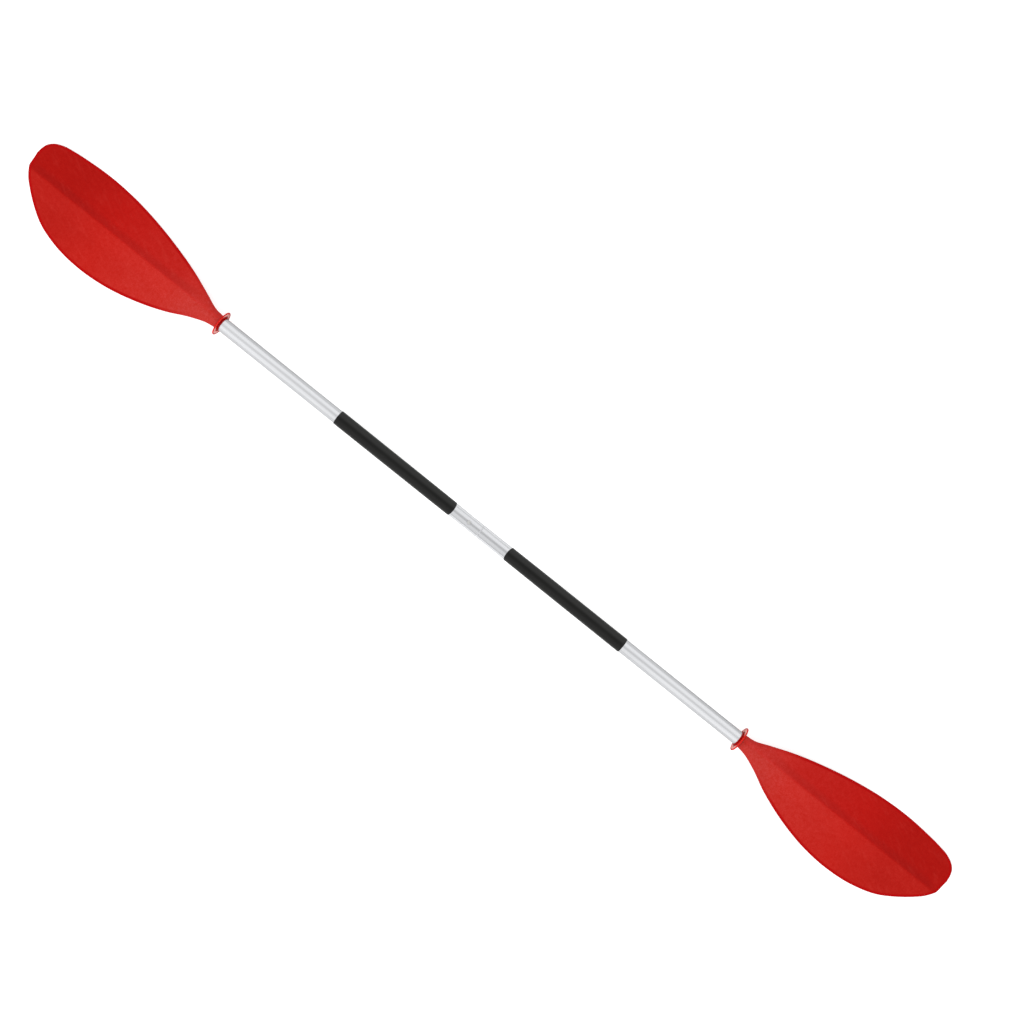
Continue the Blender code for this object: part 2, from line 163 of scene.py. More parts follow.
# Blade: spigot, round neck, dihedral blade with a spine
SHOULDER_X = TUBE_END + TOUCH_GAP
NECK_RADIUS = 0.0136
SPIGOT_RADIUS = TUBE_BORE - TOUCH_GAP
SPIGOT_START = near_and_far("left_blade")[0]
CORE_RADIUS = 0.0094
CORE_END = 0.6500
CORE_CONE = 0.0040
CORE_END_FLAT = CORE_RADIUS * 0.6
CORE_END_POINT = CORE_RADIUS * 0.02
BLADE_THICKNESS = 0.0030
EDGE_THICKNESS = 0.0022
EDGE_ROUNDING = 0.0012
RIM_START = 0.0042
RIM_END = 0.0062
SPOON_DEPTH = 0.0130
SPOON_PEAK = 4 / 27
LONG_SIDE_SLOPE = 0.166
SHORT_SIDE_SLOPE = 0.149
CREST_OFFSET = 0.0036
CREST_ROUNDING = 0.0014
RIDGE_HEIGHT = 0.0046
RIDGE_LONG_SIDE = 0.0160
RIDGE_SHORT_SIDE = 0.0350
RIDGE_NECK_RISE = 0.0010
RIDGE_NECK_WIDENING = 0.0100
RIDGE_NECK_SHARE = 0.30
RIDGE_FADE_SHARE = 0.93
RIDGE_WIDEST_SHARE = 0.8
BACK_RIB_HEIGHT = 0.0090
BACK_RIB_HALF_WIDTH = 0.0160
BACK_RIB_WIDEST_SHARE = 0.7
NECK_BLEND = 0.20
TIP_MARGIN = 0.12
TIP_Y = 0.0345
SPIGOT_CORNER = 0.0006
SCRATCH_SLANT = math.radians(25)

# The blade's two edges in plan, from the shoulder to the tip
SHORT_EDGE = (
    (SHOULDER_X, -0.0136),
    (0.6484, -0.0164),
    (0.6790, -0.0272),
    (0.7260, -0.0492),
    (0.7880, -0.0708),
    (0.8515, -0.0848),
    (0.9140, -0.0891),
    (0.9740, -0.0823),
    (1.0180, -0.0673),
    (1.0490, -0.0463),
    (1.0710, -0.0266),
    (1.0840, -0.0120),
    (1.0915, 0.0000),
    (1.0956, 0.0080),
    (1.0970, 0.0150),
    (1.0979, 0.0220),
    (1.0989, 0.0290),
    (HALF_LENGTH, TIP_Y),
)
LONG_EDGE = (
    (SHOULDER_X, 0.0136),
    (0.6484, 0.0153),
    (0.6790, 0.0266),
    (0.7260, 0.0437),
    (0.7880, 0.0611),
    (0.8510, 0.0745),
    (0.9140, 0.0832),
    (0.9745, 0.0857),
    (1.0190, 0.0832),
    (1.0508, 0.0797),
    (1.0743, 0.0749),
    (1.0887, 0.0672),
    (1.0962, 0.0581),
    (1.0991, 0.0481),
    (HALF_LENGTH, TIP_Y),
)

# Mesh resolution
ROUND_SIDES = 96
SMALL_SIDES = 48
BLADE_COLUMNS = 44
BLADE_ROWS = 210
OUTLINE_STEPS = 200
OUTLINE_PARTS = 16
MERGE_DISTANCE = 1e-6
WALL_TOLERANCE = 2e-5
WALL_FACING = 0.97

# Camera over the paddle, turned so that the shaft runs from upper left to lower right
CAMERA_HEIGHT = 2.5
VIEW_WIDTH = 1.9288
CAMERA_TURN = math.radians(38.74)
CAMERA_OFFSET = (0.0236, 0.0658)
SENSOR_WIDTH = 36.0

# The room's brightness by the angle round the shaft from straight up, in degrees: below zero is the
# short-edge side. The shades are taken off it in the middle, where directions are square to the shaft.
ROOM_LEVELS = ((-98, 0.86), (-58, 1.20), (-36, 1.20), (0, 0.86), (36, 1.12), (55, 1.12), (98, 0.66))
ROOM_SHADES = ((-60, 0.36), (0, 0.31), (40, 0.05))
ROOM_SHADE_REACH = (0.02, 0.20)
ROOM_END_REACH = (0.45, 0.85)
ROOM_END_LEVEL = 0.60

# Lamps, aimed at the paddle's middle
KEY_PLACE = (-0.3, -2.0, 1.7)
KEY_SIZE = (3.0, 1.2)
KEY_POWER = 40.0
FILL_PLACE = (0.0, 2.6, 0.42)
FILL_SIZE = (3.0, 0.6)
FILL_POWER = 9.0

# Floor
FLOOR_HALF_SIZE = 30.0
FLOOR_DROP = 0.0003
FLOOR_GLOW = 0.8


# ---------------------------------------------------------------- mesh helpers


def new_object(name, bm, smooth_angle=35):
    """A shaded object from a bmesh, with its place in its mesh."""
    bmesh.ops.recalc_face_normals(bm, faces=bm.faces)
    mesh = bpy.data.meshes.new(name)
    bm.to_mesh(mesh)
    bm.free()
    mesh.shade_smooth()
    mesh.set_sharp_from_angle(angle=math.radians(smooth_angle))
    item = bpy.data.objects.new(name, mesh)
    bpy.context.scene.collection.objects.link(item)
    return item


def skin(bm, rows, wrap_rows, wrap_columns):
    """Quads over a grid of points; wrapping joins the last row or column to the first."""
    grid = [[bm.verts.new(point) for point in row] for row in rows]
    row_count = len(grid)
    column_count = len(grid[0])
    for i in range(row_count if wrap_rows else row_count - 1):
        following = grid[(i + 1) % row_count]
        for j in range(column_count if wrap_columns else column_count - 1):
            k = (j + 1) % column_count
            bm.faces.new((grid[i][j], grid[i][k], following[k], following[j]))
    return grid


def merge_points(bm):
    bmesh.ops.remove_doubles(bm, verts=bm.verts, dist=MERGE_DISTANCE)
    bmesh.ops.dissolve_degenerate(bm, edges=bm.edges, dist=MERGE_DISTANCE / 10)


def revolve(profile_at):
    """Turn a closed profile about the shaft; profile_at(angle) gives its (x, radius) points."""
    rows = []
    for step in range(ROUND_SIDES):
        angle = math.tau * step / ROUND_SIDES
        sine, cosine = math.sin(angle), math.cos(angle)
        rows.append([(x, r * sine, AXIS_Z + r * cosine) for x, r in profile_at(angle)])
    bm = bmesh.new()
    skin(bm, rows, wrap_rows=True, wrap_columns=True)
    merge_points(bm)
    return bm


def stud(profile, x):
    """Turn (height from the shaft's axis, radius) points about an upright line at x."""
    rows = []
    for step in range(SMALL_SIDES):
        angle = math.tau * step / SMALL_SIDES
        sine, cosine = math.sin(angle), math.cos(angle)
        rows.append([(x + r * cosine, r * sine, AXIS_Z + h) for h, r in profile])
    bm = bmesh.new()
    skin(bm, rows, wrap_rows=True, wrap_columns=False)
    merge_points(bm)
    return bm


def arc(centre, radius, start_deg, end_deg, steps):
    """Points on an arc, as (along, across) pairs."""
    points = []
    for step in range(steps + 1):
        angle = math.radians(start_deg + (end_deg - start_deg) * step / steps)
        points.append((centre[0] + radius * math.cos(angle), centre[1] + radius * math.sin(angle)))
    return points


def about_shaft(degrees):
    axis_point = Vector((0, 0, AXIS_Z))
    turn = Matrix.Rotation(math.radians(degrees), 4, "X")
    return Matrix.Translation(axis_point) @ turn @ Matrix.Translation(-axis_point)


def cut_holes(target, cutters):
    """Subtract closed cutters from a piece and keep the result as its mesh."""
    cutter_objects = []
    for index, cutter in enumerate(cutters):
        cutter_object = new_object(f"{target.name}_cutter_{index}", cutter)
        cutter_objects.append(cutter_object)
        modifier = target.modifiers.new("hole", "BOOLEAN")
        modifier.operation = "DIFFERENCE"
        modifier.solver = "EXACT"
        modifier.object = cutter_object
    depsgraph = bpy.context.evaluated_depsgraph_get()
    mesh = bpy.data.meshes.new_from_object(target.evaluated_get(depsgraph))
    mesh.name = target.name
    target.modifiers.clear()
    target.data = mesh
    for cutter_object in cutter_objects:
        bpy.data.objects.remove(cutter_object, do_unlink=True)


def round_normals(item, radii):
    """Exact normals on the walls of the given radii, so that holes leave no shading marks."""
    mesh = item.data
    normals = [None] * len(mesh.loops)
    for face in mesh.polygons:
        radial_face = Vector((0, face.center.y, face.center.z - AXIS_Z)).normalized()
        facing = face.normal.dot(radial_face)
        for loop_index in face.loop_indices:
            point = mesh.vertices[mesh.loops[loop_index].vertex_index].co
            radial = Vector((0, point.y, point.z - AXIS_Z))
            on_wall = any(abs(radial.length - r) < WALL_TOLERANCE for r in radii)
            if abs(facing) > WALL_FACING and on_wall:
                normals[loop_index] = radial.normalized() * math.copysign(1, facing)
            else:
                normals[loop_index] = face.normal.copy()
    mesh.normals_split_custom_set(normals)


# ---------------------------------------------------------------- shader helpers


def linear(channel):
    """One sRGB channel, 0 to 255, as linear light."""
    value = channel / 255
    return value / 12.92 if value <= 0.04045 else ((value + 0.055) / 1.055) ** 2.4


def srgb(red, green, blue):
    return (linear(red), linear(green), linear(blue), 1.0)


def grey(value):
    return (value, value, value, 1.0)


def new_material(name):
    material = bpy.data.materials.new(name)
    material.use_nodes = True
    tree = material.node_tree
    return material, tree, tree.nodes["Principled BSDF"]


def feed(tree, node, inputs):
    """Give each named or numbered input its value or another node's output."""
    for key, value in inputs.items():
        if isinstance(value, bpy.types.NodeSocket):
            tree.links.new(value, node.inputs[key])
        else:
            node.inputs[key].default_value = value


def add_node(tree, kind, inputs=None, **settings):
    node = tree.nodes.new(kind)
    for key, value in settings.items():
        setattr(node, key, value)
    feed(tree, node, inputs or {})
    return node


def object_place(tree):
    return add_node(tree, "ShaderNodeTexCoord").outputs["Object"]


def axes_of(tree, vector):
    """The X, Y and Z of a place or a direction."""
    return add_node(tree, "ShaderNodeSeparateXYZ", {"Vector": vector}).outputs


def noise(tree, place, scale, detail=2.0, roughness=0.5, stretch=(1, 1, 1)):
    """Noise from 0 to 1; a stretch below 1 draws it out along that axis."""
    mapped = add_node(tree, "ShaderNodeMapping", {"Vector": place, "Scale": stretch})
    inputs = {
        "Vector": mapped.outputs["Vector"],
        "Scale": scale,
        "Detail": detail,
        "Roughness": roughness,
    }
    return add_node(tree, "ShaderNodeTexNoise", inputs).outputs["Fac"]


def ramp(tree, factor, *stops, interpolation="LINEAR"):
    """Colour along a factor; each stop is a place and a linear colour."""
    node = add_node(tree, "ShaderNodeValToRGB", {"Fac": factor})
    node.color_ramp.interpolation = interpolation
    elements = node.color_ramp.elements
    while len(elements) < len(stops):
        elements.new(0.5)
    for element, (place, colour) in zip(elements, stops):
        element.position = place
        element.color = colour
    return node.outputs["Color"]


def blend(tree, factor, first, second, mode="MIX"):
    """Two colours mixed; a colour mix has them in its sockets 6 and 7 and its result in 2."""
    node = add_node(tree, "ShaderNodeMix", data_type="RGBA", blend_type=mode)
    feed(tree, node, {0: factor, 6: first, 7: second})
    return node.outputs[2]


def tint(tree, tone, pattern, reach, amounts):
    """Vary red, green and blue by up to these amounts as a pattern strays from 0.5 by its reach."""
    low = [1 - amount for amount in amounts]
    high = [1 + amount for amount in amounts]
    shade = ramp(tree, pattern, (0.5 - reach, (*low, 1.0)), (0.5 + reach, (*high, 1.0)))
    return blend(tree, 1.0, tone, shade, "MULTIPLY")


def maths(tree, operation, first, second=0.0):
    inputs = {0: first, 1: second}
    return add_node(tree, "ShaderNodeMath", inputs, operation=operation).outputs["Value"]


def hypotenuse(tree, first, second):
    squares = [maths(tree, "MULTIPLY", leg, leg) for leg in (first, second)]
    return maths(tree, "SQRT", maths(tree, "ADD", *squares))


def from_middle(tree, place):
    """Distance along the shaft from its middle."""
    return maths(tree, "ABSOLUTE", axes_of(tree, place)["X"])


def share_across(tree, place, radius):
    """Share of a round piece's width, from 0 on its short-edge side to 1 on its long-edge side."""
    across = maths(tree, "DIVIDE", axes_of(tree, place)["Y"], radius)
    return maths(tree, "ADD", maths(tree, "MULTIPLY", across, 0.5), 0.5)


def spread(tree, factor, low, high):
    """Map a factor from 0..1 to low..high."""
    inputs = {"Value": factor, "To Min": low, "To Max": high}
    return add_node(tree, "ShaderNodeMapRange", inputs).outputs["Result"]


def share_between(tree, value, low, high, start=0.0, end=1.0):
    """A smooth change from start to end as a value goes from low to high."""
    inputs = {"Value": value, "From Min": low, "From Max": high, "To Min": start, "To Max": end}
    node = add_node(tree, "ShaderNodeMapRange", inputs, interpolation_type="SMOOTHSTEP")
    return node.outputs["Result"]


def bump(tree, height, distance, normal=None, strength=1.0):
    inputs = {"Height": height, "Distance": distance, "Strength": strength}
    if normal is not None:
        inputs["Normal"] = normal
    return add_node(tree, "ShaderNodeBump", inputs).outputs["Normal"]


# ---------------------------------------------------------------- materials


def blade_material():
    """Moulded red plastic: mottled and faintly scratched, with painted light: paler by the neck,
    darker towards the tip, paler on the short-edge half and deeper past the crest on the long-edge
    half.
    """
    material, tree, shader = new_material("moulded_red_plastic")
    place = object_place(tree)
    outward = share_between(tree, from_middle(tree, place), SHOULDER_X, HALF_LENGTH)
    # Painted light: each half runs from paler by the neck to darker at the tip, and the short-edge
    # half is the paler one.
    short_half_painted_light = ramp(
        tree,
        outward,
        (0.0, srgb(178, 48, 42)),
        (0.16, srgb(182, 38, 31)),
        (0.62, srgb(179, 27, 19)),
        (0.90, srgb(168, 22, 14)),
    )
    long_half_painted_light = ramp(
        tree,
        outward,
        (0.0, srgb(190, 45, 39)),
        (0.16, srgb(180, 28, 22)),
        (0.62, srgb(176, 16, 9)),
        (0.90, srgb(163, 12, 5)),
    )
    # Painted shade: the deeper long-edge half takes over just short of the crest.
    across = axes_of(tree, place)["Y"]
    painted_shade_past_crest = share_between(tree, across, CREST_OFFSET - 0.004, CREST_OFFSET + 0.002)
    tone = blend(tree, painted_shade_past_crest, short_half_painted_light, long_half_painted_light)
    clouds = noise(tree, place, 17.0, detail=4.0, roughness=0.6)
    mottle = noise(tree, place, 150.0, detail=5.0, roughness=0.75)
    specks = noise(tree, place, 520.0, detail=2.0)
    tone = tint(tree, tone, clouds, 0.20, (0.02, 0.08, 0.10))
    tone = tint(tree, tone, mottle, 0.15, (0.04, 0.28, 0.40))
    tone = tint(tree, tone, specks, 0.15, (0.04, 0.26, 0.38))
    inputs = {"Vector": place, "Angle": SCRATCH_SLANT}
    slant = add_node(tree, "ShaderNodeVectorRotate", inputs, rotation_type="Z_AXIS").outputs["Vector"]
    rubbed = noise(tree, slant, 110.0, detail=6.0, roughness=0.7, stretch=(0.22, 1.0, 1.0))
    scratch = ramp(tree, rubbed, (0.52, grey(0.0)), (0.72, grey(0.26)))
    tone = blend(tree, scratch, tone, srgb(190, 52, 44))
    rim = add_node(tree, "ShaderNodeAttribute", attribute_name="rim").outputs["Fac"]
    past_neck = share_between(tree, outward, 0.0, 0.22, 0.2, 1.0)
    tone = blend(tree, maths(tree, "MULTIPLY", rim, past_neck), tone, srgb(168, 0, 0))
    grain = noise(tree, place, 1300.0, detail=2.0)
    waves = noise(tree, place, 26.0, detail=1.0)
    normal = bump(tree, grain, 0.00004, strength=0.6)
    normal = bump(tree, mottle, 0.00025, normal, strength=0.45)
    normal = bump(tree, waves, 0.0010, normal, strength=0.25)
    inputs = {
        "Base Color": tone,
        "Roughness": spread(tree, clouds, 0.36, 0.48),
        "Normal": normal,
        "Specular IOR Level": 0.07,
    }
    feed(tree, shader, inputs)
    return material


def tube_material():
    """Drawn and anodised aluminium: hair lines along the tube, and a painted shade low on its flanks
    past the grips.
    """
    material, tree, shader = new_material("drawn_anodised_aluminium")
    place = object_place(tree)
    lines = noise(tree, place, 1400.0, detail=3.0, roughness=0.6, stretch=(0.004, 1.0, 1.0))
    clouds = noise(tree, place, 30.0, detail=3.0, stretch=(0.4, 1.0, 1.0))
    tone = ramp(tree, lines, (0.30, srgb(217, 218, 221)), (0.70, srgb(227, 228, 230)))
    tone = blend(tree, spread(tree, clouds, 0.0, 0.25), tone, srgb(211, 212, 215))
    # Painted shade: the flanks are darkened past the grips, the long-edge one most, for the shaded
    # floor they reflect.
    painted_shade_on_flanks = ramp(
        tree,
        share_across(tree, place, TUBE_RADIUS),
        (0.04, grey(0.10)),
        (0.20, grey(0.0)),
        (0.80, grey(0.0)),
        (0.95, grey(0.48)),
    )
    past_grips = share_between(tree, from_middle(tree, place), 0.07, TUBE_END)
    tone = blend(tree, maths(tree, "MULTIPLY", painted_shade_on_flanks, past_grips), tone, srgb(150, 151, 154))
    roughness = maths(tree, "ADD", spread(tree, lines, 0.13, 0.22), spread(tree, clouds, 0.0, 0.04))
    normal = bump(tree, lines, 0.000010, strength=0.5)
    inputs = {"Base Color": tone, "Roughness": roughness, "Normal": normal, "Metallic": 1.0}
    feed(tree, shader, inputs)
    return material


def grip_material():
    """Black sleeve with a fine matt leather-like grain, slightly greyer worn patches and painted
    highlights in greyer bands along both sides.
    """
    material, tree, shader = new_material("matt_black_sleeve")
    place = object_place(tree)
    inputs = {"Vector": place, "Scale": 900.0}
    cells = add_node(tree, "ShaderNodeTexVoronoi", inputs, feature="SMOOTH_F1").outputs["Distance"]
    fine = noise(tree, place, 2600.0, detail=2.0)
    worn = noise(tree, place, 24.0, detail=4.0, stretch=(0.5, 1.0, 1.0))
    tone = ramp(tree, worn, (0.35, srgb(11, 11, 10)), (0.75, srgb(20, 20, 19)))
    tone = blend(tree, spread(tree, fine, 0.0, 0.25), tone, srgb(28, 28, 26))
    # Painted highlights: greyer bands along both sides of the sleeve, the long-edge one strongest.
    painted_highlight_bands = ramp(
        tree,
        share_across(tree, place, GRIP_RADIUS_OUT),
        (0.20, grey(0.10)),
        (0.36, grey(0.08)),
        (0.46, grey(0.0)),
        (0.56, grey(0.0)),
        (0.74, grey(0.52)),
        (0.80, grey(0.52)),
        (0.90, grey(0.30)),
    )
    tone = blend(tree, painted_highlight_bands, tone, srgb(54, 54, 53))
    normal = bump(tree, cells, 0.00012, strength=0.6)
    normal = bump(tree, fine, 0.00003, normal, strength=0.5)
    inputs = {
        "Base Color": tone,
        "Roughness": spread(tree, worn, 0.34, 0.46),
        "Normal": normal,
        "Specular IOR Level": 0.16,
        "Sheen Weight": 0.10,
        "Sheen Roughness": 0.45,
        "Sheen Tint": grey(0.8),
    }
    feed(tree, shader, inputs)
    return material


def ring_material():
    """Soft red vinyl: a painted shade of deep red at the hub by the tube, and painted light making the
    web paler on its sides, where light comes through.
    """
    material, tree, shader = new_material("soft_red_vinyl")
    place = object_place(tree)
    axes = axes_of(tree, place)
    height = maths(tree, "SUBTRACT", axes["Z"], AXIS_Z)
    radius = maths(tree, "DIVIDE", hypotenuse(tree, axes["Y"], height), RING_RADIUS)
    hub = RING_HUB_RADIUS / RING_RADIUS
    sideways = maths(tree, "DIVIDE", maths(tree, "ABSOLUTE", axes["Y"]), RING_RADIUS)
    # Painted light: the web is paler towards its sides.
    painted_light_on_sides = share_between(tree, sideways, 0.35, 0.62)
    web = blend(tree, painted_light_on_sides, srgb(214, 48, 40), srgb(250, 166, 158))
    # Painted shade: the hub next to the tube is deep red.
    past_painted_hub_shade = share_between(tree, radius, hub + 0.05, hub + 0.13)
    on_rim = share_between(tree, radius, 0.86, 0.95)
    tone = blend(tree, past_painted_hub_shade, srgb(154, 0, 0), web)
    tone = blend(tree, on_rim, tone, srgb(206, 30, 24))
    clouds = noise(tree, place, 90.0, detail=3.0)
    fine = noise(tree, place, 1800.0, detail=1.0)
    tone = tint(tree, tone, clouds, 0.20, (0.05, 0.12, 0.14))
    normal = bump(tree, fine, 0.00002, strength=0.4)
    normal = bump(tree, clouds, 0.0002, normal, strength=0.3)
    inputs = {
        "Base Color": tone,
        "Roughness": spread(tree, clouds, 0.18, 0.30),
        "Normal": normal,
        "Specular IOR Level": 0.06,
        "Subsurface Weight": 0.25,
        "Subsurface Radius": (0.004, 0.0012, 0.0010),
        "Subsurface Scale": 0.6,
    }
    feed(tree, shader, inputs)
    return material


def steel_material():
    """Stainless steel with fine turned and rubbed marks."""
    material, tree, shader = new_material("rubbed_stainless_steel")
    place = object_place(tree)
    rubbed = noise(tree, place, 2200.0, detail=3.0, stretch=(0.15, 1.0, 1.0))
    clouds = noise(tree, place, 260.0, detail=2.0)
    tone = ramp(tree, clouds, (0.30, srgb(208, 208, 207)), (0.70, srgb(222, 222, 221)))
    normal = bump(tree, rubbed, 0.00001, strength=0.5)
    inputs = {
        "Base Color": tone,
        "Roughness": spread(tree, rubbed, 0.20, 0.36),
        "Normal": normal,
        "Metallic": 1.0,
    }
    feed(tree, shader, inputs)
    return material


def foam_material():
    """Closed-cell foam: cut cells over an off-white tone."""
    material, tree, shader = new_material("closed_cell_foam")
    place = object_place(tree)
    inputs = {"Vector": place, "Scale": 1100.0}
    cells = add_node(tree, "ShaderNodeTexVoronoi", inputs).outputs["Distance"]
    clouds = noise(tree, place, 120.0, detail=3.0)
    tone = ramp(tree, clouds, (0.30, srgb(216, 212, 200)), (0.70, srgb(232, 229, 220)))
    tone = blend(tree, spread(tree, cells, 0.0, 0.4), srgb(188, 184, 172), tone)
    normal = bump(tree, cells, 0.0003, strength=0.7)
    inputs = {
        "Base Color": tone,
        "Roughness": spread(tree, clouds, 0.82, 0.95),
        "Normal": normal,
        "Specular IOR Level": 0.3,
    }
    feed(tree, shader, inputs)
    return material


def seal_material():
    """Pale grey silicone with a dusty bloom."""
    material, tree, shader = new_material("pale_grey_silicone")
    place = object_place(tree)
    bloom = noise(tree, place, 180.0, detail=4.0)
    fine = noise(tree, place, 2400.0, detail=1.0)
    tone = ramp(tree, bloom, (0.35, srgb(204, 205, 207)), (0.75, srgb(214, 215, 217)))
    normal = bump(tree, fine, 0.00003, strength=0.6)
    inputs = {
        "Base Color": tone,
        "Roughness": spread(tree, bloom, 0.50, 0.62),
        "Normal": normal,
        "Specular IOR Level": 0.35,
    }
    feed(tree, shader, inputs)
    return material


def floor_material():
    """Pale matt studio sweep, painted paler between the grips as a pool of light for the shaft to
    reflect; it glows where the camera sees it directly, and the exposure burns that out to white.
    """
    material, tree, shader = new_material("pale_sweep")
    place = object_place(tree)
    mottle = noise(tree, place, 3.0, detail=2.0)
    tone = ramp(tree, mottle, (0.30, grey(0.72)), (0.70, grey(0.75)))
    # Painted light: the floor is paler between the grips, a pool of light that the tube's middle
    # reflects.
    painted_light_between_grips = share_between(tree, from_middle(tree, place), 0.05, 0.20, 1.0, 0.0)
    tone = blend(tree, painted_light_between_grips, tone, grey(0.89))
    # The floor glows only for camera rays, so it shows white and shadowless where seen directly.
    seen = add_node(tree, "ShaderNodeLightPath").outputs["Is Camera Ray"]
    inputs = {
        "Base Color": tone,
        "Emission Color": tone,
        "Emission Strength": maths(tree, "MULTIPLY", seen, FLOOR_GLOW),
        "Roughness": 0.9,
        "Specular IOR Level": 0.0,
    }
    feed(tree, shader, inputs)
    return material


# ---------------------------------------------------------------- pieces


def rivet_hole(x):
    """A cutter from below the tube: a countersink, then a straight hole."""
    hole = RIVET_RADIUS + RIVET_CLEARANCE
    sink = RIVET_HEAD_RADIUS + RIVET_CLEARANCE
    slope = (sink - hole) / (RIVET_HEAD_FACE - RIVET_HEAD_BASE)
    profile = [
        (-RIVET_HOLE_OUTSIDE, 0.0),
        (-RIVET_HOLE_OUTSIDE, sink + slope * (RIVET_HOLE_OUTSIDE - RIVET_HEAD_FACE)),
        (-RIVET_HEAD_BASE, hole),
        (-RIVET_HOLE_INSIDE, hole),
        (-RIVET_HOLE_INSIDE, 0.0),
    ]
    return stud(profile, x)


def button_hole(turn_deg=0.0):
    """A cutter for the walls of the tube and the ferrule, turned about the shaft."""
    inside = FERRULE_BORE * 0.5
    outside = TUBE_RADIUS * 1.3
    profile = [
        (inside, 0.0),
        (inside, BUTTON_HOLE_RADIUS),
        (outside, BUTTON_HOLE_RADIUS),
        (outside, 0.0),
    ]
    cutter = stud(profile, BUTTON_X)
    bmesh.ops.transform(cutter, matrix=about_shaft(turn_deg), verts=cutter.verts)
    return cutter


def rivet_places(prefix):
    """Where the rivets of one half of the shaft are, by node name."""
    return {
        node: box_middle(node).x
        for node in sorted(SLOT_OF)
        if "rivet" in node and (node.startswith(prefix) or (prefix == "right" and "ferrule" in node))
    }


def make_tube(prefix, side):
    edge = TUBE_DEBURR
    profile = [
        (side * (TUBE_START + edge), TUBE_BORE),
        (side * TUBE_START, TUBE_BORE + edge),
        (side * TUBE_START, TUBE_RADIUS - edge),
        (side * (TUBE_START + edge), TUBE_RADIUS),
        (side * (TUBE_END - edge), TUBE_RADIUS),
        (side * TUBE_END, TUBE_RADIUS - edge),
        (side * TUBE_END, TUBE_BORE + edge),
        (side * (TUBE_END - edge), TUBE_BORE),
    ]
    tube = new_object(f"{prefix}_shaft_tube_detailed", revolve(lambda angle: profile))
    cutters = [rivet_hole(x) for x in rivet_places(prefix).values()]
    if prefix == "left":
        cutters += [button_hole(setting) for setting in FEATHER_SETTINGS_DEG]
    cut_holes(tube, cutters)
    round_normals(tube, (TUBE_RADIUS, TUBE_BORE))
    return tube


def make_ferrule():
    """Sleeve with a rounded nose at the end that goes into the left tube."""
    low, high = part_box("ferrule")
    nose = FERRULE_NOSE
    profile = [(low.x, FERRULE_BORE), (low.x, FERRULE_RADIUS - nose)]
    profile += arc((low.x + nose, FERRULE_RADIUS - nose), nose, 180, 90, 6)[1:]
    profile += [(high.x, FERRULE_RADIUS), (high.x, FERRULE_BORE)]
    ferrule = new_object("ferrule_detailed", revolve(lambda angle: profile))
    places = [box_middle(f"ferrule_rivet_{end}").x for end in ("inner", "outer")]
    cut_holes(ferrule, [button_hole()] + [rivet_hole(x) for x in places])
    round_normals(ferrule, (FERRULE_RADIUS, FERRULE_BORE))
    return ferrule


def make_seal_ring():
    low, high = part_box("joint_seal_ring")
    inner = FERRULE_RADIUS + TOUCH_GAP
    outer = TUBE_RADIUS
    middle = (low.x + high.x) / 2
    profile = [
        (low.x, inner),
        (low.x, outer - SEAL_BULGE),
        (middle, outer),
        (high.x, outer - SEAL_BULGE),
        (high.x, inner),
    ]
    return new_object("joint_seal_ring_detailed", revolve(lambda angle: profile), 60)


def make_snap_button():
    """A steel button: flange, straight wall and a low dome with a rounded shoulder."""
    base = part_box("snap_button")[0].z - AXIS_Z
    profile = [
        (base, 0.0),
        (base, BUTTON_FLANGE_RADIUS),
        (BUTTON_FLANGE_TOP, BUTTON_FLANGE_RADIUS),
        (BUTTON_FLANGE_TOP, BUTTON_RADIUS),
    ]
    centre = (BUTTON_RADIUS - BUTTON_SHOULDER, BUTTON_TOP - BUTTON_CROWN - BUTTON_SHOULDER)
    profile += [(h, r) for r, h in arc(centre, BUTTON_SHOULDER, 0, 80, 8)]
    for share in (0.5, 0.25, 0.0):
        profile.append((BUTTON_TOP - BUTTON_CROWN * share**2, BUTTON_RADIUS * share))
    return new_object("snap_button_detailed", stud(profile, BUTTON_X))


def spring_path():
    """Side view of the leaf spring's middle: lower leg, bend, sloping leg, pad under the button."""
    low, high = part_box("button_spring")
    half = SPRING_THICKNESS / 2
    low_z = low.z + half
    high_z = high.z - half
    centre = (high.x - half - SPRING_BEND_RADIUS, low_z + SPRING_BEND_RADIUS)
    bend = arc(centre, SPRING_BEND_RADIUS, -90, 90 - SPRING_LEG_DEG, 24)
    leg_x, leg_z = bend[-1]
    slope = math.tan(math.radians(SPRING_LEG_DEG))
    steps = 40
    leg = []
    for step in range(1, steps + 1):
        z = leg_z + (high_z - leg_z) * step / steps
        leg.append((leg_x - (z - leg_z) / slope, z))
    return [(low.x, low_z)] + bend + leg + [(low.x, high_z)]


def make_button_spring():
    """A strip with softened edges swept along the spring's path."""
    width = SPRING_WIDTH / 2
    depth = SPRING_THICKNESS / 2
    section = []
    for side_y, side_n in ((1, 1), (-1, 1), (-1, -1), (1, -1)):
        corner = [(width - SPRING_EDGE, depth), (width, depth - SPRING_EDGE)]
        if side_y * side_n > 0:
            corner.reverse()
        section += [(side_y * y, side_n * n) for y, n in corner]
    path = np.array(spring_path())
    directions = np.gradient(path, axis=0)
    directions /= np.linalg.norm(directions, axis=1)[:, None]
    rows = []
    for (x, z), (along_x, along_z) in zip(path, directions):
        rows.append([(x - along_z * n, y, z + along_x * n) for y, n in section])
    bm = bmesh.new()
    skin(bm, rows, wrap_rows=False, wrap_columns=True)
    bmesh.ops.holes_fill(bm, edges=[edge for edge in bm.edges if edge.is_boundary])
    return new_object("button_spring_detailed", bm)


